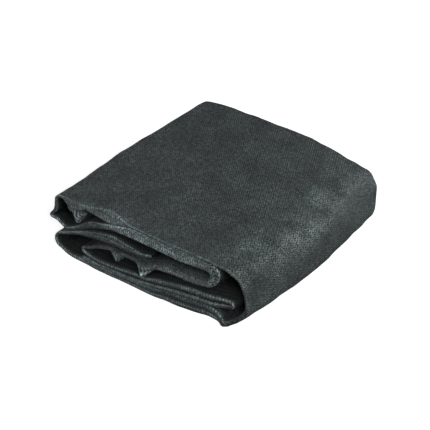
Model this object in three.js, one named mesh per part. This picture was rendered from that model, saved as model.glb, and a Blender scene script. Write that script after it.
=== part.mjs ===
// A knitted shade cloth folded flat for storage. The cloth is doubled, with its doubled edge at the front,
// and then folded back and forth into a stack, which its own outer run wraps from the bottom, round the
// spine on the right, to the top. It is one sheet, so it is one solid. Millimetres, +Z up, and the origin
// lies under the middle of the stack, on the surface that the stack rests on.
import * as THREE from "three";

const { clamp, degToRad, lerp, smoothstep } = THREE.MathUtils;

// Driving dimensions
const WIDTH = 310; // along X, from the loose left end to the spine
const DEPTH = 330; // along Y, from the front plane to the back edges
const HEIGHT = 78; // along Z, at the front
const CLOTH = 1; // thickness of one layer of cloth
const BACK_RAGGED = 3; // how far the back edges lie in and out
const BACK_WAVE = 130; // length of cloth over which they do so
const BACK_STEP = 4; // the outer layer's back edge stands this far past the inner layer's

// Unevenness of the whole stack. Each FROM or TO is a share of the depth, and each SIDE a share of the width.
const SPINE_BULGE = 11; // the spine stands out past its front end, most of all a third of the way in
const BULGE_PLACE = 0.65; // power that sets that place
const SPINE_TAPER = 15; // the spine's upper part is drawn in by this much at the back
const TAPER_FROM = 0.45;
const FOOT_TAPER = 0.4; // share of that taper at the spine's foot
const FOOT_TRIM = 18; // the spine's foot ends this far short of its back edge
const TRIM_FROM = 0.8;
const LEFT_SKEW = 8; // the left end slants outwards towards the back
const SKEW_TO = 0.6;
const SPINE_DROP = 0.18; // share of the height that is lost at the back end of the spine
const SPINE_DROP_FROM = 0.3;
const SPINE_SIDE = 0.6;
const LEFT_RISE = 0.056; // share of the height that the left end gains behind its front
const RISE_TO = 0.85;
const LEFT_SIDE = 0.35;
const CORNER_CUT = 12; // the back left corner is rounded off by this much
const CUT_FROM = 0.86;
const CUT_SIDE = 0.14;
const TOP_WAVE = 1.2; // rise and fall of the soft waves across the stack
const WAVE_X = { length: 47, start: 1.3 }; // their lengths along X and Y, each over two pi, and their starts
const WAVE_Y = { length: 61, start: 0.4 };

// Sampling
const RUN_STEP = 26; // longest step along a straight run
const SAG_STEP = 4; // longest step along a run where it sags
const TURN_STEP = degToRad(20); // largest turn in one step round a fold
const FINE_STEPS = 40; // trial steps between two rows of the path
const BEND_STEPS = 4; // rows round a bend
const FRONT_STEPS = 4; // steps round the doubled front edge
const LAYER_SHARES = [0, 0.02, 0.05, 0.1, 0.2, 0.32, 0.46, 0.72, 1]; // each layer's points, front to back
const SPREAD_FROM = 0.08; // shares of the depth between which the layers spread to fill the stack
const SPREAD_TO = 0.45;

// The folded section, seen from the front, as rows on the middle of the doubled cloth. x runs to the right
// and z up, thick is the doubled cloth from face to face at its front edge, and front is how far that edge
// stands behind the front plane. lean is how much further back the edge's outer side stands. Further in,
// inner and outer are how far the two layers stand off the middle, half of thick if not given, and swell is
// how far the row moves along X to fill the spine. A row with a radius is a bend about x and z, from one
// angle to another in degrees.
const FOLDS = [
  // The tucked end, which lies in the gap between the two halves of the stack and runs leftwards out of it
  { run: "tuck", x: 170, z: 44.2, thick: 2.6, front: 6 },
  { run: "tuck", x: 158, z: 43.6, thick: 4.4, front: 1 },
  { run: "tuck", x: 138, z: 45.2, thick: 8.6, front: -3, outer: 6.4 },
  { run: "tuck", x: 112, z: 46.2, thick: 10.6, front: -3, outer: 8 },
  { run: "tuck", x: 95, z: 45, thick: 10, front: -4 },
  { run: "tuck", x: 78, z: 42.2, thick: 8, front: -4 },
  { run: "tuck", x: 60, z: 37.4, thick: 6, front: -4 },
  { run: "tuck", x: 42, z: 30.8, thick: 4, front: -4 },
  { run: "left_turn", x: 26.5, z: 14.4, radius: 11, from: 118, to: 262, thick: 3.4, front: -5 },
  // The bottom, flat on the surface, running rightwards to the pointed front corner of the spine
  { run: "bottom", x: 38, z: 1.8, thick: 3.6, front: -8 },
  { run: "bottom", x: 100, z: 3, thick: 6, front: -13 },
  { run: "bottom", x: 145, z: 4, thick: 8, front: -13 },
  { run: "bottom", x: 190, z: 5.6, thick: 11.2, front: -13.5 },
  { run: "bottom", x: 230, z: 7.4, thick: 14.8, front: -12 },
  { run: "bottom", x: 256, z: 7.4, thick: 14.8, front: -8 },
  { run: "bottom", x: 274, z: 6, thick: 12, front: -3 },
  { run: "bottom", x: 287, z: 3.4, thick: 6.8, front: -2 },
  { run: "bottom", x: 297, z: 1.8, thick: 3.6, front: -5 },
  // The spine, whose front edge is drawn back from the stack's
  { run: "spine", x: 304.4, z: 4.8, thick: 3, front: 4.4, inner: 3 },
  { run: "spine", x: 310, z: 14, thick: 3, front: 13, inner: 3 },
  { run: "spine", x: 311, z: 28, thick: 3, front: 14, inner: 3 },
  { run: "spine", x: 311, z: 44, thick: 3, front: 12, inner: 3 },
  { run: "spine", x: 307.5, z: 57.5, thick: 3.2, front: 10.5 },
  { run: "spine", x: 299, z: 69.4, thick: 3.4, front: 6.5 },
  { run: "spine", x: 284, z: 74.6, thick: 3.2, front: 4.5 },
  // The top, running leftwards
  { run: "top", x: 250, z: 75.6, thick: 3, front: 4.5 },
  { run: "top", x: 190, z: 75.9, thick: 3, front: 4 },
  { run: "top", x: 140, z: 76.6, thick: 3.4, front: 3.5 },
  { run: "top", x: 120, z: 74.4, thick: 7.6, front: 3, lean: 4 },
  { run: "top", x: 102, z: 71.8, thick: 12.4, front: 2, lean: 8, inner: 5.6 },
  { run: "top", x: 84, z: 72.2, thick: 9.6, front: 3, lean: 6, inner: 6.5 },
  { run: "top", x: 62, z: 73.6, thick: 4.6, front: 5, inner: 9.6 },
  { run: "top", x: 36, z: 72.4, thick: 3, front: 6, inner: 13 },
  // The left end of the upper half, which drops to a sharp crease that points outwards
  { run: "beak", x: 17.5, z: 63.6, radius: 8.5, from: 90, to: 170, thick: 3.4, front: 6, inner: 6.5 },
  { run: "beak", x: 4.4, z: 47, thick: 5, front: 7, inner: 9 },
  { run: "beak", x: -1.6, z: 36.4, radius: 2.8, from: 160, to: 265, thick: 3, front: 8 },
  { run: "beak", x: 10, z: 35.4, thick: 3, front: 6, inner: 4 },
  { run: "beak", x: 20, z: 33, thick: 3.2, front: 4, inner: 6 },
  // The upper half's lower run, running rightwards
  { run: "upper", x: 31, z: 32.6, thick: 3.4, front: 1, inner: 10 },
  { run: "upper", x: 42, z: 36.4, thick: 4, front: 0, inner: 13 },
  { run: "upper", x: 58, z: 44.4, thick: 6.4, front: 0, inner: 13 },
  { run: "upper", x: 75, z: 52.8, thick: 8.4, front: 1, inner: 9 },
  { run: "upper", x: 94, z: 58.8, thick: 6.4, front: 2, inner: 4, outer: 6 },
  { run: "upper", x: 116, z: 64.6, thick: 6, front: 2, lean: -2, outer: 7.2 },
  { run: "upper", x: 142, z: 68.2, thick: 10, front: 3, lean: -5, outer: 9.4 },
  { run: "upper", x: 190, z: 67.6, thick: 10.4, front: 3, lean: -6, outer: 9 },
  { run: "upper", x: 238, z: 67.4, thick: 10.2, front: 3, lean: -4, outer: 6.6 },
  { run: "nose", x: 263, z: 58, radius: 9, from: 84, to: -20, thick: 10, front: 3 },
  // The lower half's upper run, running leftwards, whose front leans back under the run above it and whose
  // left end slopes down
  { run: "middle", x: 268, z: 46.6, thick: 14, front: 0, inner: 6, outer: 5 },
  { run: "middle", x: 250, z: 43, thick: 17.4, front: -2, lean: 6, inner: 7.4 },
  { run: "middle", x: 232, z: 41.6, thick: 17, front: -3, lean: 8, inner: 7.2 },
  { run: "middle", x: 212, z: 40.6, thick: 15.6, front: -3, lean: 9, inner: 7 },
  { run: "middle", x: 192, z: 39.4, thick: 13, front: -4, lean: 7, inner: 8, outer: 6.6 },
  { run: "middle", x: 176, z: 37.8, thick: 9, front: -4, lean: 3, inner: 7 },
  { run: "middle", x: 160, z: 36.6, thick: 7, front: -4, inner: 7.2 },
  { run: "middle", x: 112, z: 35.4, thick: 7, front: -4, inner: 8 },
  { run: "middle", x: 99, z: 33.2, thick: 6.2, front: -4, inner: 5.4 },
  { run: "middle", x: 86, z: 27.6, thick: 4.6, front: -3, inner: 3 },
  { run: "middle", x: 74, z: 20.6, thick: 3.6, front: -2 },
  { run: "inner_turn", x: 64.5, z: 14.2, radius: 3.4, from: 125, to: 265, thick: 3, front: -3 },
  // The next run, running rightwards
  { run: "lower", x: 77, z: 9.8, thick: 3, front: -5, inner: 3 },
  { run: "lower", x: 100, z: 11.8, thick: 3.4, front: -9, inner: 8 },
  { run: "lower", x: 145, z: 15.8, thick: 3.6, front: -9, inner: 9 },
  { run: "lower", x: 168, z: 17.4, thick: 4, front: -9, inner: 9 },
  { run: "lower", x: 190, z: 21, thick: 5, front: -8, inner: 8.6 },
  { run: "lower", x: 225, z: 27, thick: 5.2, front: -7, inner: 5.6 },
  { run: "lower", x: 250, z: 28.4, thick: 5.8, front: -5, inner: 5.6 },
  { run: "lower", x: 272, z: 27.6, thick: 5.4, front: 0, inner: 6.6 },
  { run: "right_turn", x: 293, z: 22.6, radius: 3, from: 85, to: -88, thick: 4, front: 8, swell: 2 },
  // The last run, running leftwards to the inner end
  { run: "inner", x: 271, z: 18.6, thick: 5.4, front: -2 },
  { run: "inner", x: 250, z: 20, thick: 5.4, front: -6 },
  { run: "inner", x: 225, z: 18.8, thick: 5.2, front: -8 },
  { run: "inner", x: 190, z: 14.2, thick: 3.4, front: -10 },
  { run: "inner", x: 168, z: 12, thick: 2.8, front: -10.5 },
  { run: "inner", x: 145, z: 10.6, thick: 2.6, front: -11 },
  { run: "inner", x: 100, z: 8, thick: 2.6, front: -11 },
  { run: "inner", x: 66, z: 6.8, thick: 2.6, front: -9 },
];

// Loose folds of the inner layer near the front edge: out is how far forwards at the fold's middle, drop how
// far it sags, start how far behind the edge it is deepest, reach how far it runs on from there, and width
// its half width.
const SAGS = [
  { run: "top", x: 36, drop: 34, out: 4, width: 20, start: 11, reach: 34 },
  { run: "middle", x: 123, drop: 13.6, out: 8, width: 12, start: 9, reach: 26 },
  { run: "middle", x: 169, drop: 13.4, out: 12, width: 14, start: 8, reach: 30 },
];

// The doubled cloth has two layers: the inner one lies left of the path, and the outer one right of it.
const INNER = 1;
const OUTER = -1;

// The rows of the path, with each bend as rows on its arc.
function pathRows() {
  return FOLDS.flatMap((row) => {
    const whole = { inner: row.thick / 2, outer: row.thick / 2, lean: 0, swell: 0, ...row };
    if (!row.radius) return [whole];
    return Array.from({ length: BEND_STEPS + 1 }, (_, step) => {
      const angle = degToRad(lerp(row.from, row.to, step / BEND_STEPS));
      return { ...whole, x: row.x + row.radius * Math.cos(angle), z: row.z + row.radius * Math.sin(angle) };
    });
  });
}

// Whether a run has a loose fold near x.
function sags(run, x) {
  return SAGS.some((sag) => sag.run === run && Math.abs(x - sag.x) < sag.width + SAG_STEP);
}

// Samples along the middle of the doubled cloth, close together round the folds.
function samplePath() {
  const rows = pathRows();
  const knots = rows.map(({ x, z }) => new THREE.Vector3(x, 0, z));
  const curve = new THREE.CatmullRomCurve3(knots, false, "centripetal");
  const steps = (rows.length - 1) * FINE_STEPS;
  const samples = [];
  for (let step = 0; step <= steps; step++) {
    const point = curve.getPoint(step / steps);
    const along = curve.getTangent(step / steps);
    const last = samples.at(-1);
    const ran = last ? Math.hypot(point.x - last.x, point.z - last.z) : 0;
    const row = Math.min(Math.floor(step / FINE_STEPS), rows.length - 2);
    const share = step / FINE_STEPS - row;
    const { run } = rows[share < 0.5 ? row : row + 1];
    const longest = sags(run, point.x) ? SAG_STEP : RUN_STEP;
    const due = !last || step === steps || ran >= longest || along.angleTo(last.along) >= TURN_STEP;
    if (!due) continue;
    const between = (column) => lerp(rows[row][column], rows[row + 1][column], share);
    samples.push({
      run,
      x: point.x,
      z: point.z,
      along,
      length: last ? last.length + ran : 0,
      thick: between("thick"),
      front: between("front"),
      inner: between("inner"),
      outer: between("outer"),
      lean: between("lean"),
      swell: between("swell"),
    });
  }
  return samples;
}

// The closed outline of the doubled cloth across its path, as places beside the path and along Y: the outer
// face from the inner layer's back edge round the front to the outer layer's back edge, and the inner face
// back. Each place also has the place of the outer face there.
function sectionOutline({ thick, front, length, inner, outer, lean }) {
  const middle = front + thick / 2;
  const back = DEPTH + BACK_RAGGED * Math.sin(length / BACK_WAVE);
  const spread = (share) => smoothstep(share, SPREAD_FROM, SPREAD_TO);
  const onLayer = (layer, share, within) => {
    const [deep, end] = layer === INNER ? [inner, back - BACK_STEP] : [outer, back];
    const half = lerp(thick / 2, deep, spread(share));
    const start = middle + (lean * (1 - layer)) / 2;
    const y = lerp(start, end, share);
    const face = { beside: layer * half, y };
    return { beside: layer * (half - within), y, face, spread: spread(share), layer, within };
  };
  const onFront = (step, within) => {
    const angle = Math.PI * (0.5 - step / FRONT_STEPS);
    const layer = Math.sin(angle);
    const start = middle + (lean * (1 - layer)) / 2;
    const at = (half) => ({ beside: half * layer, y: start - half * Math.cos(angle) });
    return { ...at(thick / 2 - within), face: at(thick / 2), spread: 0, layer, within };
  };
  const face = (within) => [
    ...LAYER_SHARES.map((share) => onLayer(INNER, share, within)).reverse(),
    ...Array.from({ length: FRONT_STEPS - 1 }, (_, step) => onFront(step + 1, within)),
    ...LAYER_SHARES.map((share) => onLayer(OUTER, share, within)),
  ];
  return [...face(0), ...face(CLOTH).reverse()];
}

// How far the loose folds move a point of a layer down and out. Both faces of the cloth move alike, and the
// front edge comes out with its layers.
function sagAt(sample, x, y, layer) {
  const move = { drop: 0, out: 0 };
  for (const sag of SAGS.filter(({ run }) => run === sample.run)) {
    const across = Math.max(1 - Math.abs(x - sag.x) / sag.width, 0);
    const depth = y - sample.front;
    const past = Math.max(depth - sag.start, 0) / sag.reach;
    const share = ((1 + layer) / 2) * across * Math.exp(-(past ** 2));
    move.drop += share * sag.drop * smoothstep(depth, 0, sag.start);
    move.out += share * sag.out;
  }
  return move;
}

// The unevenness of the whole stack, which moves neighbouring layers together.
function settle(x, y, z) {
  const right = Math.max(x / WIDTH, 0) ** 3;
  const inwards = clamp(y / DEPTH, 0, 1);
  const raised = smoothstep(z, 0, HEIGHT / 2);
  const bulge = SPINE_BULGE * Math.sin(Math.PI * inwards ** BULGE_PLACE);
  const taper = SPINE_TAPER * smoothstep(inwards, TAPER_FROM, 1) * lerp(FOOT_TAPER, 1, raised);
  const trim = FOOT_TRIM * right * smoothstep(inwards, TRIM_FROM, 1) * (1 - raised);
  const skew = LEFT_SKEW * (1 - x / WIDTH) * smoothstep(inwards, 0, SKEW_TO);
  const atSpine = smoothstep(x / WIDTH, SPINE_SIDE, 1) * smoothstep(inwards, SPINE_DROP_FROM, 1);
  const atLeft = (1 - smoothstep(x / WIDTH, 0, LEFT_SIDE)) * smoothstep(inwards, 0, RISE_TO);
  const cut = CORNER_CUT * (1 - smoothstep(x / WIDTH, 0, CUT_SIDE)) * smoothstep(inwards, CUT_FROM, 1);
  const wave = Math.sin(x / WAVE_X.length + WAVE_X.start) * Math.sin(y / WAVE_Y.length + WAVE_Y.start);
  const height = 1 - SPINE_DROP * atSpine + LEFT_RISE * atLeft + (TOP_WAVE / HEIGHT) * wave;
  return new THREE.Vector3(x + right * (bulge - taper) - skew, y - trim - cut, z * height);
}

// The place of a point of the outline. The bottom run's outer layer lies flat on the surface.
function placePoint(sample, { beside, y, face, spread, layer, within }) {
  const along = (offset) => sample.x - offset * sample.along.z + sample.swell * spread;
  const x = along(beside);
  const lying = sample.run === "bottom" && layer === OUTER;
  const { drop, out } = sagAt(sample, along(face.beside), face.y, layer);
  const z = lying ? within : sample.z + beside * sample.along.x - drop;
  return settle(x, y - out, z);
}

// The cloth as one closed surface: its outline carried along the path, with both ends closed.
function clothGeometry() {
  const samples = samplePath();
  const section = (sample) => sectionOutline(sample).map((place) => placePoint(sample, place));
  const points = samples.flatMap(section);
  const around = points.length / samples.length;
  const triangles = [];
  const quad = (a, b, c, d) => triangles.push(a, b, c, a, c, d);
  for (let i = 0; i + 1 < samples.length; i++) {
    for (let j = 0; j < around; j++) {
      const next = (j + 1) % around;
      const corners = [i * around + j, i * around + next, (i + 1) * around + next, (i + 1) * around + j];
      // Both faces of the cloth are cut along the same diagonal.
      if (j >= around / 2) corners.push(corners.shift());
      quad(...corners);
    }
  }
  const last = (samples.length - 1) * around;
  for (let j = 0; j < around / 2 - 1; j++) {
    const across = around - 1 - j;
    quad(j, across, across - 1, j + 1);
    quad(last + j, last + j + 1, last + across - 1, last + across);
  }
  return new THREE.BufferGeometry().setFromPoints(points).setIndex(triangles);
}

const clothMaterial = new THREE.MeshStandardMaterial({ color: 0x3a4141, roughness: 0.7, metalness: 0 });
const cloth = new THREE.Mesh(clothGeometry(), clothMaterial);
cloth.name = "shade_cloth";

const bundle = new THREE.Group();
bundle.add(cloth);
const extent = new THREE.Box3().setFromObject(bundle);
const middle = extent.getCenter(new THREE.Vector3());
cloth.position.set(-middle.x, -middle.y, -extent.min.z);

export default bundle;
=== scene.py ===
"""A folded shade cloth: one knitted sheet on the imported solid's folds, on a pale floor in soft light."""
import math
from types import SimpleNamespace

import bpy
import numpy as np
from mathutils import Matrix, Vector


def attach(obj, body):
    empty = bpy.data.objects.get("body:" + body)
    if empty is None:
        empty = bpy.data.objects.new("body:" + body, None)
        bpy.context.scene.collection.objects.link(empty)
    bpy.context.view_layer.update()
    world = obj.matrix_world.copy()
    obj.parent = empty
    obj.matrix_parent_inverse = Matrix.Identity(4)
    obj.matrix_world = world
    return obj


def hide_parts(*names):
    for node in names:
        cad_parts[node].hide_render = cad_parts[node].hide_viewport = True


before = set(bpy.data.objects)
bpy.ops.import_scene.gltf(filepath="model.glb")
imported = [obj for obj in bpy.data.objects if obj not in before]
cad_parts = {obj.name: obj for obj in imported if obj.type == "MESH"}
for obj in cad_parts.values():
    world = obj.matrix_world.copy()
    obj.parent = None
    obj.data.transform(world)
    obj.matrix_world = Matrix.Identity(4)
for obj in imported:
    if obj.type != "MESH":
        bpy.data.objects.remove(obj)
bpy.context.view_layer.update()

# Sizes of the bundle in millimetres, in the folded section's own frame, as in the part's source
WIDTH, DEPTH, HEIGHT = 310, 330, 78
ORIGIN = (154.82, 159.78, 0.0)  # the part's origin in that frame
CLOTH = 1.0  # thickness of one layer
BACK_RAGGED, BACK_WAVE = 3, 130  # how far the back edges run in and out, and that wave's length over two pi
BACK_STEP = 4  # how far the inner layer's back edge lies before the outer's
SPREAD_FROM, SPREAD_TO = 0.08, 0.45  # shares of the depth between which the layers spread to fill the stack

# Unevenness of the whole stack, as in the part's source; places are shares of the width or the depth
SPINE_BULGE, BULGE_PLACE = 11, 0.65  # the spine's swelling, and the power that moves it forward
SPINE_TAPER, TAPER_FROM, FOOT_TAPER = 15, 0.45, 0.4  # the spine drawn in at the back, the foot less so
FOOT_TRIM, TRIM_FROM = 18, 0.8  # the spine's foot, shorter at the back
LEFT_SKEW, SKEW_TO = 8, 0.6  # the left side, set over to the left behind the front
SPINE_DROP, SPINE_DROP_FROM, SPINE_SIDE = 0.18, 0.3, 0.6  # the spine, lower towards the back
LEFT_RISE, RISE_TO, LEFT_SIDE = 0.056, 0.85, 0.35  # the left side, higher towards the back
CORNER_CUT, CUT_FROM, CUT_SIDE = 12, 0.86, 0.14  # the back left corner, shorter
TOP_WAVE = 1.2  # height of the soft waves across the stack
WAVE_X, WAVE_Y = (47, 1.3), (61, 0.4)  # their lengths over two pi, and their starts

# Sampling
BEND_ROWS = 5  # rows round a bend
SPAN_STEPS = 60  # trial steps between two rows
PATH_POINTS = 430  # points along the folded section
LAYER_POINTS = 38  # points on each layer, from front to back
FRONT_CROWDING = 1.7  # the power that crowds them towards the front
FRONT_POINTS = 15  # points round the doubled front edge
RUN_STEP, SAG_STEP = 6.0, 1.5  # lengths of one step on smooth and on loose runs
TURN_STEP = math.radians(9)  # the turn of one step
SHARP_ANGLE = math.radians(70)  # faces that meet more sharply aren't smoothed


def row(run, x, z, thick, front, lean=0, inner=None, outer=None, swell=0):
    """One row of the section, at the middle of the doubled cloth.

    thick is the thickness at the front edge, front that edge's place along Y, and lean how much further
    back the outer layer starts. Further in, inner and outer are the layers' distances from the middle,
    and swell moves the row to the right.
    """
    return dict(run=run, x=x, z=z, thick=thick, front=front, lean=lean, inner=inner or thick / 2,
                outer=outer or thick / 2, swell=swell)


def bend(run, x, z, radius, start, end, thick, front, **further_in):
    """Rows round a bend about x and z, from one angle to another in degrees."""
    angles = np.radians(np.linspace(start, end, BEND_ROWS))
    arc = [(x + radius * math.cos(a), z + radius * math.sin(a)) for a in angles]
    return [row(run, px, pz, thick, front, **further_in) for px, pz in arc]


# The part's folds; rows at the tip, the nose, and the middle and inner runs differ by up to 4 mm
FOLDS = [
    row("tuck", 170, 44.2, 2.6, 6),
    row("tuck", 158, 43.6, 4.4, 1),
    row("tuck", 138, 45.2, 8.6, -3, outer=6.4),
    row("tuck", 112, 46.2, 10.6, -3, outer=8),
    row("tuck", 95, 45, 10, -4),
    row("tuck", 78, 42.2, 8, -4),
    row("tuck", 60, 37.4, 6, -4),
    row("tuck", 42, 30.8, 4, -4),
    *bend("left_turn", 26.5, 14.4, 11, 118, 262, 3.4, -5),
    row("bottom", 38, 1.8, 3.6, -8),
    row("bottom", 100, 3, 6, -13),
    row("bottom", 145, 4, 8, -13),
    row("bottom", 190, 5.6, 11.2, -13.5),
    row("bottom", 230, 7.4, 14.8, -12),
    row("bottom", 256, 7.4, 14.8, -8),
    row("bottom", 274, 6, 12, -4),
    row("bottom", 287, 4.4, 8.8, -4.5),
    row("bottom", 297, 3.2, 6.4, -8),
    row("spine", 304.4, 7, 6.4, 1, inner=5),
    row("spine", 310, 16, 6, 12, inner=4),
    row("spine", 311.4, 29, 4, 14, inner=3),
    row("spine", 311, 44, 3, 12, inner=3),
    row("spine", 307.5, 57.5, 3.2, 10.5),
    row("spine", 299, 69.4, 3.4, 6.5),
    row("spine", 284, 74.6, 3.2, 4.5),
    row("top", 250, 75.6, 3, 4.5),
    row("top", 190, 75.9, 3, 4),
    row("top", 140, 76.6, 3.4, 3.5),
    row("top", 120, 74.4, 7.6, 3, lean=4),
    row("top", 102, 71.8, 12.4, 2, lean=8, inner=5.6),
    row("top", 84, 72.2, 9.6, 3, lean=6, inner=6.5),
    row("top", 62, 73.6, 4.6, 5, inner=9.6),
    row("top", 36, 72.4, 3, 6, inner=13),
    *bend("beak", 17.5, 63.6, 8.5, 90, 170, 3.4, 6, inner=6.5),
    row("beak", 4.4, 47, 5, 7, inner=9),
    *bend("beak", -1.6, 36.4, 2.8, 160, 265, 3, 8),
    row("beak", 10, 35.4, 3, 6, inner=4),
    row("beak", 20, 33, 3.2, 4, inner=6),
    row("upper", 31, 32.6, 3.4, 1, inner=10),
    row("upper", 42, 36.4, 4, 0, inner=13),
    row("upper", 58, 44.4, 6.4, 0, inner=13),
    row("upper", 75, 52.8, 8.4, 1, inner=9),
    row("upper", 94, 58.8, 6.4, 2, inner=4, outer=6),
    row("upper", 116, 64.6, 6, 2, lean=-2, outer=7.2),
    row("upper", 142, 68.2, 10, 3, lean=-5, outer=9.4),
    row("upper", 190, 67.6, 10.4, 3, lean=-6, outer=9),
    row("upper", 238, 66.6, 11, 3, lean=-4, outer=6.6),
    *bend("nose", 262, 57, 8.6, 80, -24, 12.4, 3, outer=4),
    row("middle", 267, 46.8, 11.4, 0, inner=6, outer=3),
    row("middle", 250, 43.8, 14.4, -2, lean=6, inner=7.2, outer=5),
    row("middle", 232, 42.8, 13.6, -3, lean=8, inner=6.8),
    row("middle", 212, 41.8, 12.6, -3, lean=8, inner=6.6),
    row("middle", 192, 40, 11.4, -4, lean=6, inner=7.4, outer=6),
    row("middle", 176, 37.8, 9, -4, lean=3, inner=7),
    row("middle", 160, 36.6, 7, -4, inner=7.2),
    row("middle", 112, 35.4, 7, -4, inner=8),
    row("middle", 99, 33.2, 6.2, -4, inner=5.4),
    row("middle", 86, 27.6, 4.6, -3, inner=3),
    row("middle", 74, 20.6, 3.6, -2),
    *bend("inner_turn", 64.5, 14.2, 3.4, 125, 265, 3, -3),
    row("lower", 77, 9.8, 3, -5, inner=3),
    row("lower", 100, 11.8, 3.4, -9, inner=8),
    row("lower", 145, 15.8, 3.6, -9, inner=9),
    row("lower", 168, 17.4, 4, -9, inner=9),
    row("lower", 190, 21, 5, -8, inner=8.6),
    row("lower", 225, 27, 5.2, -7, inner=5.6),
    row("lower", 250, 28.4, 5.8, -5, inner=5.6),
    row("lower", 272, 27.6, 5.4, 0, inner=6.6),
    *bend("right_turn", 293, 22.6, 3, 85, -88, 4, 8, swell=2),
    row("inner", 271, 18.6, 5.4, -2),
    row("inner", 250, 20, 5.4, -6),
    row("inner", 225, 18.8, 5.2, -8),
    row("inner", 190, 14.2, 3.4, -10),
    row("inner", 168, 12, 2.8, -10.5),
    row("inner", 145, 10.6, 2.6, -11),
    row("inner", 100, 8, 2.6, -11, outer=1),
    row("inner", 66, 6.6, 2.6, -9, outer=0.8),
]
COLUMNS = ("x", "z", "thick", "front", "lean", "inner", "outer", "swell")

# Loose folds of the inner layer near the front edge; the left one is crumpled into two
# highlight is how strong a painted highlight each fold's ridge gets
SAGS = [
    dict(run="top", x=25, drop=25, out=2, width=11, start=14, reach=26, highlight=1.5),
    dict(run="top", x=45, drop=31, out=9, width=20, start=12, reach=30, highlight=2),
    dict(run="middle", x=123, drop=13.6, out=8, width=12, start=9, reach=26, highlight=1),
    dict(run="middle", x=169, drop=13.4, out=12, width=14, start=8, reach=30, highlight=1),
]
RIDGE_FROM = 0.05, 0.55  # shares of a loose fold's fall between which its painted highlight comes in

# Front edges with a painted highlight: how strong, where along X, and how far in it fades
EDGE_RUNS, EDGE_FROM = dict(upper=0.93, nose=0.84, middle=0.4), (84, 110)
TOP_EDGE, TOP_EDGE_FROM, TOP_EDGE_TO = dict(top=0.5), (40, 75), (120, 150)
EDGE_REACH = 8, 18

# Painted shade: cloth kept darker deep in the folds, on open faces and corners, and under the upper run
DEEP_FROM, DEEP_TO = (0, 7), (DEPTH - 60, DEPTH - 10)  # from behind the front edge to before the back edge
DEEP_SHARE = dict(left_turn=0.8, tuck=0.9)  # runs that are less dark, because light reaches further in
OUTSIDE = dict(left_turn=1, bottom=1, spine=1, top=1, beak=1)  # runs whose outer layer is outside
FACE_DARK = dict(bottom=0.55)
CORNER_FROM, CORNER_TO, CORNER_DARK = (278, 292), (12, 30), 0.9  # along X and Z
SHADED, SHADED_FROM, SHADED_DARK = dict(middle=1), (0.4, -0.9), 0.5  # from its lower layer to its upper one

# Front edges that show three layers, with a groove between each two, in shares of the half thickness
GROOVED = dict(bottom=1)
# GROOVE_DARK is painted shade in the grooves
GROOVE_PLACE, GROOVE_WIDTH, GROOVE_DEPTH, GROOVE_DARK = 0.5, 0.22, 0.6, 1.0

# Painted highlights along both edges of each front fold: their half width, and the runs where they are
# weaker
CREASE = 2.2
CREASE_SHARE = dict(spine=0.2, top=0.4, lower=0.75, inner=0.7)

RUN_BLUR = 15  # path points over which one run's share goes over into the next's

# Soft puckers of the loose cloth: their height, and lengths over two pi along and across it
PUCKERS = [(0.5, 11, 23), (0.45, -17, 9), (0.35, 7, -31), (0.3, 5.5, 7), (0.22, -4, 3.5)]
PUCKER_SPINE, PUCKER_TOP = 2.4, 0.6  # how much of them shows on the spine's crest and elsewhere
PUCKERED = dict(spine=1, top=1)  # runs that form the crest
CREST_SIDE, CREST_RISE = (0.7, 0.95), (0.25, 0.7)  # shares of the width and height between which it begins


def smoothstep(low, high, value):
    t = np.clip((value - low) / (high - low), 0, 1)
    return t * t * (3 - 2 * t)


def mix(a, b, share):
    return a + (b - a) * share


def curve_points(knots):
    """Points of the centripetal curve through the rows, with every column carried along."""
    ends = np.vstack([2 * knots[0] - knots[1], knots, 2 * knots[-1] - knots[-2]])
    gaps = np.sqrt(np.linalg.norm(np.diff(ends[:, :2], axis=0), axis=1))
    share = (np.arange(SPAN_STEPS) / SPAN_STEPS)[:, None]
    spans = []
    for i in range(len(knots) - 1):
        p0, p1, p2, p3 = ends[i:i + 4]
        d0, d1, d2 = gaps[i:i + 3]
        t1 = d1 * ((p1 - p0) / d0 - (p2 - p0) / (d0 + d1) + (p2 - p1) / d1)
        t2 = d1 * ((p2 - p1) / d1 - (p3 - p1) / (d1 + d2) + (p3 - p2) / d2)
        square = 3 * (p2 - p1) - 2 * t1 - t2
        cube = 2 * (p1 - p2) + t1 + t2
        spans.append(p1 + t1 * share + square * share ** 2 + cube * share ** 3)
    return np.vstack([*spans, knots[-1:]])


def sample_path():
    """The section's columns, directions, lengths and runs, at points that crowd round the folds."""
    knots = np.array([[r[c] for c in COLUMNS] for r in FOLDS], float)
    fine = curve_points(knots)
    nearest = np.round(np.arange(len(fine)) / SPAN_STEPS).astype(int)
    runs = np.array([FOLDS[i]["run"] for i in nearest])
    steps = np.diff(fine[:, :2], axis=0)
    ran = np.linalg.norm(steps, axis=1)
    heading = np.unwrap(np.arctan2(steps[:, 1], steps[:, 0]))
    turned = np.abs(np.diff(heading, prepend=heading[0]))
    loose = np.zeros(len(ran), bool)
    for sag in SAGS:
        loose |= (np.abs(fine[1:, 0] - sag["x"]) < sag["width"]) & (runs[1:] == sag["run"])
    run_step = np.where(loose, SAG_STEP, RUN_STEP)
    effort = np.concatenate([[0], np.cumsum(ran / run_step + turned / TURN_STEP)])
    length = np.concatenate([[0], np.cumsum(ran)])
    at = np.interp(np.linspace(0, effort[-1], PATH_POINTS), effort, np.arange(len(fine)))
    columns = {c: np.interp(at, np.arange(len(fine)), fine[:, i]) for i, c in enumerate(COLUMNS)}
    angle = np.interp(at, np.arange(len(heading)) + 0.5, heading)
    columns["tx"], columns["tz"] = np.cos(angle), np.sin(angle)
    columns["length"] = np.interp(at, np.arange(len(fine)), length)
    columns["run"] = runs[np.round(at).astype(int)]
    return columns


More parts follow.
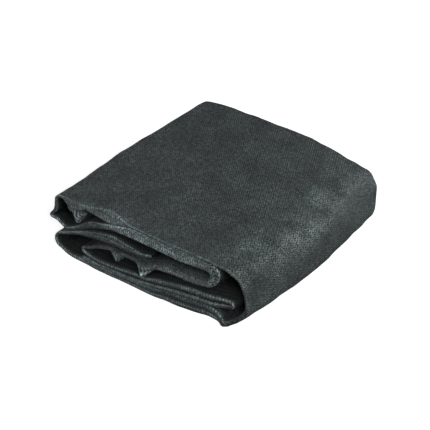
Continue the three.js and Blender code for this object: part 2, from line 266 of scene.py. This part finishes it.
def outline():
    """Across the path: shares of the depth, layers from 1 (inner) to -1 (outer), and forward shares."""
    shares = np.linspace(0, 1, LAYER_POINTS) ** FRONT_CROWDING
    angles = np.linspace(math.pi / 2, -math.pi / 2, FRONT_POINTS)[1:-1]
    none = np.zeros(LAYER_POINTS)
    share = np.concatenate([shares[::-1], np.zeros(len(angles)), shares])
    layer = np.concatenate([none + 1, np.sin(angles), none - 1])
    forward = np.concatenate([none, np.cos(angles), none])
    return share, layer, forward


def settle(x, y, z):
    """The unevenness of the whole stack."""
    right = np.maximum(x / WIDTH, 0) ** 3
    inwards = np.clip(y / DEPTH, 0, 1)
    raised = smoothstep(0, HEIGHT / 2, z)
    bulge = SPINE_BULGE * np.sin(math.pi * inwards ** BULGE_PLACE)
    taper = SPINE_TAPER * smoothstep(TAPER_FROM, 1, inwards) * mix(FOOT_TAPER, 1, raised)
    trim = FOOT_TRIM * right * smoothstep(TRIM_FROM, 1, inwards) * (1 - raised)
    skew = LEFT_SKEW * (1 - x / WIDTH) * smoothstep(0, SKEW_TO, inwards)
    at_spine = smoothstep(SPINE_SIDE, 1, x / WIDTH) * smoothstep(SPINE_DROP_FROM, 1, inwards)
    at_left = (1 - smoothstep(0, LEFT_SIDE, x / WIDTH)) * smoothstep(0, RISE_TO, inwards)
    cut = CORNER_CUT * (1 - smoothstep(0, CUT_SIDE, x / WIDTH)) * smoothstep(CUT_FROM, 1, inwards)
    wave = np.sin(x / WAVE_X[0] + WAVE_X[1]) * np.sin(y / WAVE_Y[0] + WAVE_Y[1])
    height = 1 - SPINE_DROP * at_spine + LEFT_RISE * at_left + TOP_WAVE / HEIGHT * wave
    return x + right * (bulge - taper) - skew, y - trim - cut, z * height


def along_runs(path, shares, other=0):
    """A share for each point of the path, from a table by run, softened where the runs meet."""
    values = np.array([shares.get(run, other) for run in path["run"][:, 0]], float)
    padded = np.pad(values, RUN_BLUR // 2, mode="edge")
    return np.convolve(padded, np.ones(RUN_BLUR) / RUN_BLUR, mode="valid")[:, None]


def puckers(path, y):
    """Small rises and dips of both layers, strongest on the spine's crest."""
    crest = smoothstep(*CREST_SIDE, path["x"] / WIDTH) * smoothstep(*CREST_RISE, path["z"] / HEIGHT)
    waves = sum(height * np.sin(path["length"] / along + y / across) for height, along, across in PUCKERS)
    return waves * mix(PUCKER_TOP, PUCKER_SPINE, crest * along_runs(path, PUCKERED))


def lay_layers(path):
    """Both layers and the front edge between them, all along the path, before the loose folds hang."""
    share, layer, forward = outline()
    half = path["thick"] / 2 - CLOTH / 2
    further_in = np.where(layer > 0, path["inner"], path["outer"]) - CLOTH / 2
    spread = smoothstep(SPREAD_FROM, SPREAD_TO, share)
    beside = layer * mix(half, further_in, spread)
    back = DEPTH + BACK_RAGGED * np.sin(path["length"] / BACK_WAVE) - BACK_STEP * (layer > 0)
    edge = path["front"] + path["thick"] / 2 + path["lean"] * (1 - layer) / 2
    grooved = along_runs(path, GROOVED) * (forward > 0)
    groove = grooved * np.exp(-((np.abs(layer) - GROOVE_PLACE) / GROOVE_WIDTH) ** 2)
    y = mix(edge, back, share) - half * forward * (1 - GROOVE_DEPTH * groove)
    aside = beside + puckers(path, y)
    x = path["x"] - aside * path["tz"] + path["swell"] * spread
    z = path["z"] + aside * path["tx"]
    return SimpleNamespace(x=x, y=y, z=z, depth=y - path["front"], share=share, layer=layer,
                           forward=forward, half=half, beside=beside, back=back, edge=edge,
                           grooved=grooved, groove=groove)


def hang_folds(path, grid):
    """Let the loose folds hang from the inner layer, and tell how much painted highlight each point of them
    gets.
    """
    fold_highlight = np.zeros(grid.y.shape)
    for sag in SAGS:
        tent = np.clip(1 - np.abs(grid.x - sag["x"]) / sag["width"], 0, 1) * (path["run"] == sag["run"])
        past = np.maximum(grid.depth - sag["start"], 0) / sag["reach"]
        move = (1 + grid.layer) / 2 * tent * np.exp(-past ** 2)
        fall = move * smoothstep(0, sag["start"], grid.depth)
        grid.z = grid.z - sag["drop"] * fall
        grid.y = grid.y - sag["out"] * move
        fold_highlight = np.maximum(fold_highlight, sag["highlight"] * smoothstep(*RIDGE_FROM, fall))
    return fold_highlight


def edge_highlights(path, grid, shaded):
    """How much painted highlight the front edges get."""
    edges = along_runs(path, EDGE_RUNS) * smoothstep(*EDGE_FROM, grid.x)
    at_top = smoothstep(*TOP_EDGE_FROM, grid.x) * (1 - smoothstep(*TOP_EDGE_TO, grid.x))
    edges = edges + along_runs(path, TOP_EDGE) * at_top
    under = along_runs(path, SHADED) * (grid.layer == 1) * (grid.share > 0)
    return edges * (1 - smoothstep(*EDGE_REACH, grid.depth)) * (1 - shaded) * (1 - under)


def darkness(path, grid, fold_highlight, shaded):
    """How much painted shade the cloth gets: deep in the folds, on open faces, at the open corner, under
    the upper run and in the grooves.
    """
    hidden = np.where(grid.layer < 0, 1 - along_runs(path, OUTSIDE), 1) * along_runs(path, DEEP_SHARE, 1)
    within = smoothstep(*DEEP_FROM, grid.y - grid.edge) * (1 - smoothstep(*DEEP_TO, grid.y))
    painted_shade = hidden * within * np.clip(1 - fold_highlight, 0, 1)
    at_corner = smoothstep(*CORNER_FROM, path["x"]) * (1 - smoothstep(*CORNER_TO, path["z"]))
    face = grid.forward * np.maximum(along_runs(path, FACE_DARK), CORNER_DARK * at_corner)
    shade = SHADED_DARK * shaded * (grid.share == 0)
    return np.maximum.reduce([painted_shade, face, shade, GROOVE_DARK * grid.groove])


def rim_highlights(path, grid, shaded):
    """How much painted highlight each point gets: near a front fold's edge, or on the layer between two
    grooves.
    """
    round_front = grid.half * np.arccos(np.abs(grid.layer))
    off_edge = np.where(grid.forward > 0, round_front, grid.share * (grid.back - grid.edge))
    off_middle = grid.half * np.arcsin(np.abs(grid.layer))
    at_edge = (1 - smoothstep(0, CREASE, off_edge)) * along_runs(path, CREASE_SHARE, 1) * (1 - shaded)
    return np.maximum(at_edge, grid.grooved * (1 - smoothstep(0, CREASE, off_middle)))


def flat_places(path, grid):
    """Each point's place on the cloth laid flat: along it, and across it from the front fold."""
    sideways = np.diff(grid.beside, axis=1, prepend=grid.beside[:, :1])
    inwards = np.diff(grid.y, axis=1, prepend=grid.y[:, :1])
    across = np.cumsum(np.hypot(sideways, inwards), axis=1)
    front = len(grid.share) // 2
    across = across - across[:, front:front + 1]
    return np.stack([np.broadcast_to(path["length"], across.shape), across], axis=-1)


def cloth_grid():
    """The cloth's middle and its flat places, in metres along and across the path, and its painted
    highlights and shade.
    """
    path = {name: values[:, None] for name, values in sample_path().items()}
    grid = lay_layers(path)
    shaded = along_runs(path, SHADED) * smoothstep(*SHADED_FROM, grid.layer)
    # painted highlights on the loose folds and on the front edges
    fold_highlight = np.maximum(hang_folds(path, grid), edge_highlights(path, grid, shaded))
    shades = dict(fold_highlight=fold_highlight, painted_shade=darkness(path, grid, fold_highlight, shaded), crease_highlight=rim_highlights(path, grid, shaded))
    lying = (path["run"] == "bottom") & (grid.layer == -1)
    z = np.maximum(np.where(lying, CLOTH / 2, grid.z), CLOTH / 2)
    points = np.stack(settle(grid.x, grid.y, z), axis=-1) - np.array(ORIGIN)
    return points / 1000, flat_places(path, grid) / 1000, shades


def grid_normals(points):
    along = np.gradient(points, axis=0)
    across = np.gradient(points, axis=1)
    normals = np.cross(along, across)
    return normals / np.linalg.norm(normals, axis=-1, keepdims=True)


def sheet_faces(rows, columns):
    """Quads of a closed thin sheet whose two faces are grids of points, one after the other."""
    index = np.arange(rows * columns).reshape(rows, columns)
    corners = [index[:-1, :-1], index[1:, :-1], index[1:, 1:], index[:-1, 1:]]
    front = np.stack(corners, axis=-1).reshape(-1, 4)
    back = front[:, ::-1] + rows * columns
    edge = np.concatenate([index[0, :-1], index[:-1, -1], index[-1, :0:-1], index[:0:-1, 0]])
    after = np.roll(edge, -1)
    rim = np.stack([edge, after, after + rows * columns, edge + rows * columns], axis=-1)
    return np.concatenate([front, back, rim])


def store_places(mesh, flat, shades):
    """Keep the flat places as the knit's map, and the painted highlight and shade values as attributes, on
    both faces.
    """
    coordinates = np.concatenate([flat.reshape(-1, 2)] * 2)
    loops = np.empty(len(mesh.loops), int)
    mesh.loops.foreach_get("vertex_index", loops)
    knit_map = mesh.uv_layers.new(name="knit")
    knit_map.data.foreach_set("uv", coordinates[loops].ravel())
    for name, values in shades.items():
        attribute = mesh.attributes.new(name, "FLOAT", "POINT")
        attribute.data.foreach_set("value", np.concatenate([values.ravel()] * 2))


def make_cloth():
    """The sheet, and its size laid flat."""
    points, flat, shades = cloth_grid()
    rows, columns = points.shape[:2]
    offset = grid_normals(points) * CLOTH / 2 / 1000
    vertices = np.concatenate([(points + offset).reshape(-1, 3), (points - offset).reshape(-1, 3)])
    mesh = bpy.data.meshes.new("shade_cloth_sheet")
    mesh.from_pydata(vertices.tolist(), [], sheet_faces(rows, columns).tolist())
    store_places(mesh, flat, shades)
    mesh.polygons.foreach_set("use_smooth", np.ones(len(mesh.polygons), bool))
    mesh.set_sharp_from_angle(angle=SHARP_ANGLE)
    cloth = bpy.data.objects.new("shade_cloth_sheet", mesh)
    bpy.context.collection.objects.link(cloth)
    size = flat[..., 0].max(), flat[..., 1].max(axis=1).mean() - flat[..., 1].min(axis=1).mean()
    return cloth, size


# The knit
WALE, COURSE = 0.0040, 0.0036  # metres between its chains, and between its stitches
CHAIN_EDGE, THREAD_EDGE = (0.42, 0.10), (0.44, 0.10)  # from the yarn's edge to its full height, in pitches
CHAIN_LOW, CHAIN_RISE = 0.25, 0.5  # the chain's height between its stitches, and their rise
THREAD_HEIGHT = 0.8
BUMP_STRENGTH, BUMP_HEIGHT = 0.8, 0.0008
GAP = 0.06, 0.10  # how much yarn still leaves a gap, and how much closes it

# The yarn, and how light each stitch, the mottling and the blotches make it; the knit's hollows and the
# folds get painted shade and highlights
YARN_DARK = (0.010, 0.0125, 0.0125, 1)
YARN_LIGHT = (0.121, 0.150, 0.150, 1)
STITCH_SHADES = 0.7, 1.3
MOTTLE = dict(scale=320.0, detail=0.0, limits=(0.25, 0.75), shades=(0.5, 1.4))
BLOTCHES = dict(scale=26.0, detail=3.0, limits=(0.3, 0.7), shades=(0.72, 1.2))
FOLD_SHADES = dict(crease_highlight=3.2, fold_highlight=1.8, painted_shade=-0.88)  # what each painted highlight and shade adds
ROUGH, SMOOTH = 0.65, 0.35  # the dullest and the shiniest stitches
SPECULAR, SHEEN, SHEEN_ROUGHNESS = 0.4, 0.05, 0.4

# The spine's crest, with a painted highlight in patches
CREST_HEIGHT, CREST_BAND = 74, 0.045  # its height in millimetres, and half its width in metres
CREST_PATCHES = dict(scale=30.0, detail=2.0, limits=(0.42, 0.62), shades=(0.0, 0.9))


def crest_length():
    """Metres along the cloth to the spine's crest."""
    path = sample_path()
    off_crest = np.abs(path["z"] - CREST_HEIGHT) + WIDTH * (path["run"] != "spine")
    return float(path["length"][off_crest.argmin()]) / 1000


class Nodes:
    """Short calls to add shader nodes and join them."""

    def __init__(self, tree):
        self.tree = tree

    def add(self, kind, **values):
        node = self.tree.nodes.new(kind)
        for name, value in values.items():
            setattr(node, name, value)
        return node

    def join(self, source, target):
        if hasattr(source, "links"):
            self.tree.links.new(source, target)
        else:
            target.default_value = source

    def math(self, operation, a, b=0.0, c=0.0):
        node = self.add("ShaderNodeMath", operation=operation)
        for source, target in zip((a, b, c), node.inputs):
            self.join(source, target)
        return node.outputs[0]

    def ramp(self, value, low, high, start=0.0, end=1.0):
        node = self.add("ShaderNodeMapRange", interpolation_type="SMOOTHSTEP")
        sockets = {"Value": value, "From Min": low, "From Max": high, "To Min": start, "To Max": end}
        for name, source in sockets.items():
            self.join(source, node.inputs[name])
        return node.outputs[0]

    def patches(self, vector, scale, detail, limits, shades):
        noise = self.add("ShaderNodeTexNoise")
        self.join(vector, noise.inputs["Vector"])
        noise.inputs["Scale"].default_value = scale
        noise.inputs["Detail"].default_value = detail
        return self.ramp(noise.outputs["Fac"], *limits, *shades)


def knit_pattern(n, course, wale):
    """How much yarn covers a point, and the yarn's height, from the stitch and chain it lies at."""
    off_chain = n.math("ABSOLUTE", n.math("SUBTRACT", n.math("FRACT", wale), 0.5))
    chain = n.ramp(off_chain, *CHAIN_EDGE)
    stitch = n.math("MULTIPLY_ADD", n.math("COSINE", n.math("MULTIPLY", course, 2 * math.pi)), 0.5, 0.5)
    slant = n.math("ADD", course, n.math("PINGPONG", wale, 1.0))
    off_thread = n.math("ABSOLUTE", n.math("SUBTRACT", n.math("FRACT", slant), 0.5))
    thread = n.ramp(off_thread, *THREAD_EDGE)
    chain_height = n.math("MULTIPLY", chain, n.math("MULTIPLY_ADD", stitch, CHAIN_RISE, CHAIN_LOW))
    height = n.math("MAXIMUM", chain_height, n.math("MULTIPLY", thread, THREAD_HEIGHT))
    cover = n.math("MAXIMUM", chain, thread)
    return cover, height


def stitch_lot(n, course, wale):
    """A number of each stitch's own, from 0 to 1."""
    cell = n.add("ShaderNodeCombineXYZ")
    n.join(n.math("FLOOR", course), cell.inputs[0])
    n.join(n.math("FLOOR", wale), cell.inputs[1])
    noise = n.add("ShaderNodeTexWhiteNoise", noise_dimensions="2D")
    n.join(cell.outputs[0], noise.inputs["Vector"])
    return noise.outputs["Value"]


def between(n, share, low, high):
    """A value between two numbers, by share."""
    return n.math("MULTIPLY_ADD", share, high - low, low)


def shade_factors(n, flat, along, lot, crest_at):
    """What makes the yarn lighter or darker, as factors: each stitch's own tone, mottling, blotches, and
    the painted shade and highlights of the folds and the spine's crest.
    """
    factors = [between(n, lot, *STITCH_SHADES), n.patches(flat, **MOTTLE), n.patches(flat, **BLOTCHES)]
    for name, change in FOLD_SHADES.items():
        value = n.add("ShaderNodeAttribute", attribute_name=name).outputs["Fac"]
        factors.append(n.math("MULTIPLY_ADD", value, change, 1.0))
    # a painted highlight in patches along the spine's crest
    off_crest = n.math("ABSOLUTE", n.math("SUBTRACT", along, crest_at))
    on_crest = n.ramp(off_crest, CREST_BAND, 0.0)
    factors.append(n.math("MULTIPLY_ADD", on_crest, n.patches(flat, **CREST_PATCHES), 1.0))
    return factors


def knit_material(crest_at):
    material = bpy.data.materials.new("knitted_polyethylene")
    material.use_nodes = True
    n = Nodes(material.node_tree)
    shader = material.node_tree.nodes["Principled BSDF"]
    flat = n.add("ShaderNodeUVMap", uv_map="knit").outputs[0]
    split = n.add("ShaderNodeSeparateXYZ")
    n.join(flat, split.inputs[0])
    along, across = split.outputs[0], split.outputs[1]
    course = n.math("DIVIDE", along, COURSE)
    wale = n.math("DIVIDE", across, WALE)
    cover, height = knit_pattern(n, course, wale)
    lot = stitch_lot(n, course, wale)
    # the colour is darker where the knit is low: painted shade in the hollows between the yarns
    shade = height
    for factor in shade_factors(n, flat, along, lot, crest_at):
        shade = n.math("MULTIPLY", shade, factor)
    colour = n.add("ShaderNodeMix", data_type="RGBA", clamp_factor=False)
    n.join(shade, colour.inputs["Factor"])
    n.join(YARN_DARK, colour.inputs["A"])
    n.join(YARN_LIGHT, colour.inputs["B"])
    n.join(colour.outputs["Result"], shader.inputs["Base Color"])
    bump = n.add("ShaderNodeBump")
    bump.inputs["Strength"].default_value = BUMP_STRENGTH
    bump.inputs["Distance"].default_value = BUMP_HEIGHT
    n.join(height, bump.inputs["Height"])
    n.join(bump.outputs[0], shader.inputs["Normal"])
    n.join(n.ramp(cover, *GAP), shader.inputs["Alpha"])
    n.join(between(n, lot, ROUGH, SMOOTH), shader.inputs["Roughness"])
    shader.inputs["Specular IOR Level"].default_value = SPECULAR
    shader.inputs["Sheen Weight"].default_value = SHEEN
    shader.inputs["Sheen Roughness"].default_value = SHEEN_ROUGHNESS
    return material


# The camera: the photograph's angles, aimed at a point of the section's frame
AZIMUTH, ELEVATION = math.radians(38.5), math.radians(32.5)
DISTANCE = 2.1
AIM = (160, 150, 30)
PHOTO_SIDE, FOCAL_PIXELS, SENSOR = 430, 1588, 36


def backwards(azimuth, elevation):
    """The direction from the object towards a camera or lamp."""
    level = math.cos(elevation)
    return Vector((math.sin(azimuth) * level, -math.cos(azimuth) * level, math.sin(elevation)))


def aimed(place, target):
    """The pose at place that looks at target, with the picture upright."""
    return Matrix.Translation(place) @ (place - target).to_track_quat("Z", "Y").to_matrix().to_4x4()


def make_camera():
    camera = bpy.data.objects.new("camera", bpy.data.cameras.new("camera"))
    bpy.context.collection.objects.link(camera)
    camera.data.sensor_width = SENSOR
    camera.data.lens = FOCAL_PIXELS / PHOTO_SIDE * SENSOR
    target = (Vector(AIM) - Vector(ORIGIN)) / 1000
    camera.matrix_world = aimed(target + backwards(AZIMUTH, ELEVATION) * DISTANCE, target)
    bpy.context.scene.camera = camera


# Square lamps round the bundle, in degrees, metres and watts, and a little light from all sides
LAMPS = [
    dict(name="front", azimuth=-25, elevation=15, side=0.5, watts=9),
    dict(name="fill", azimuth=50, elevation=35, side=0.6, watts=11),
    dict(name="right", azimuth=90, elevation=22, side=0.7, watts=5),
    dict(name="right_back", azimuth=135, elevation=28, side=0.7, watts=13.5),
    dict(name="back", azimuth=180, elevation=12, side=0.8, watts=2.5),
    dict(name="left", azimuth=-100, elevation=10, side=0.8, watts=3.5),
]
LAMP_DISTANCE = 1.8
WORLD_LIGHT = 0.03
WHITE = (1, 1, 1, 1)


def make_lamps():
    for lamp in LAMPS:
        data = bpy.data.lights.new(lamp["name"], "AREA")
        data.energy = lamp["watts"]
        data.size = lamp["side"]
        direction = backwards(math.radians(lamp["azimuth"]), math.radians(lamp["elevation"]))
        ob = bpy.data.objects.new(lamp["name"], data)
        ob.matrix_world = aimed(direction * LAMP_DISTANCE, Vector((0, 0, 0)))
        bpy.context.collection.objects.link(ob)


def make_world():
    world = bpy.data.worlds.new("studio")
    world.use_nodes = True
    background = world.node_tree.nodes["Background"]
    background.inputs["Strength"].default_value = WORLD_LIGHT
    background.inputs["Color"].default_value = WHITE
    bpy.context.scene.world = world


# The floor: half its side in metres, its colour, and a glow that keeps it white without lighting the cloth
FLOOR_HALF = 6
FLOOR_COLOUR = (0.9, 0.9, 0.9, 1)
FLOOR_GLOW = 0.8


def make_floor():
    mesh = bpy.data.meshes.new("floor")
    corners = [(x * FLOOR_HALF, y * FLOOR_HALF, 0) for x, y in ((-1, -1), (1, -1), (1, 1), (-1, 1))]
    mesh.from_pydata(corners, [], [(0, 1, 2, 3)])
    floor = bpy.data.objects.new("floor", mesh)
    bpy.context.collection.objects.link(floor)
    material = bpy.data.materials.new("pale_floor")
    material.use_nodes = True
    shader = material.node_tree.nodes["Principled BSDF"]
    shader.inputs["Base Color"].default_value = FLOOR_COLOUR
    shader.inputs["Roughness"].default_value = 1.0
    shader.inputs["Specular IOR Level"].default_value = 0.0
    shader.inputs["Emission Color"].default_value = WHITE
    shader.inputs["Emission Strength"].default_value = FLOOR_GLOW
    mesh.materials.append(material)
    floor.visible_diffuse = False
    floor.visible_glossy = False


make_camera()
cloth, flat_size = make_cloth()
cloth.data.materials.append(knit_material(crest_length()))
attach(cloth, "root")
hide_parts("shade_cloth")
make_lamps()
make_world()
make_floor()
bpy.context.scene.view_settings.view_transform = "Standard"
